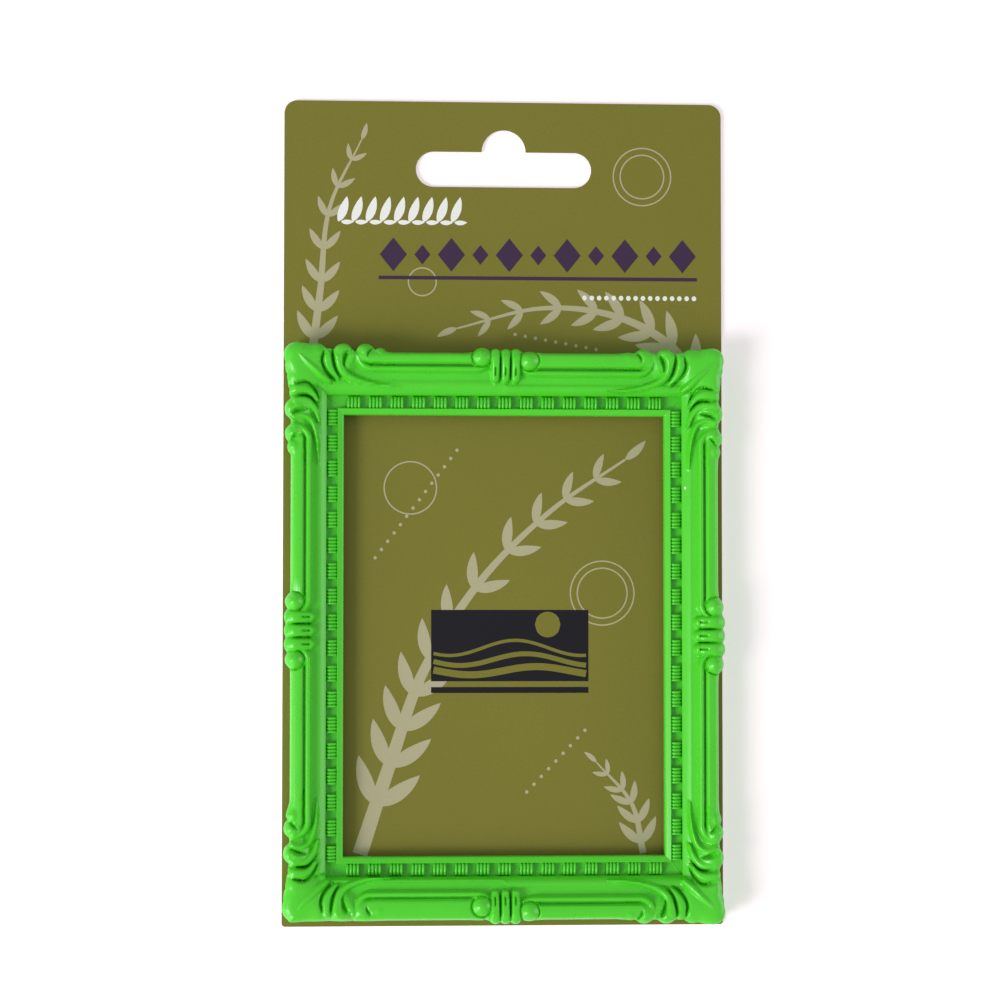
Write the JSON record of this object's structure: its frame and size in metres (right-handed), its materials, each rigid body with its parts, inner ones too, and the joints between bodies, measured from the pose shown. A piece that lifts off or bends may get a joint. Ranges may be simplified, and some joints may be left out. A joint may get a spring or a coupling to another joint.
{
  "type": "magnetic photo frame",
  "caption": "Small baroque magnetic photo frame of green plastic with an open window, lying on the printed hanging card it lifts off from.",
  "frame": {"origin": "middle of the hanging card, on its back face", "axes": "+X across the card, +Y up the card towards the hanging slot, +Z out of the picture"},
  "size_m": [0.0754, 0.1414, 0.0083],
  "materials": {
    "card": "satin",
    "tape": "matte",
    "green_plastic": "satin",
    "ferrite": "matte"
  },
  "bodies": {
    "card": {"header_card": "card", "pad_top": "tape", "pad_bottom": "tape", "pad_left": "tape", "pad_right": "tape"},
    "frame": {"frame_moulding": "green_plastic", "magnet_top_left": "ferrite", "magnet_top_right": "ferrite", "magnet_bottom_left": "ferrite", "magnet_bottom_right": "ferrite"}
  },
  "joints": [
    {"name": "frame_lift", "type": "slide", "parent": "card", "child": "frame", "axis": [0, 0, 1], "range_m": [0, 0.04]}
  ]
}
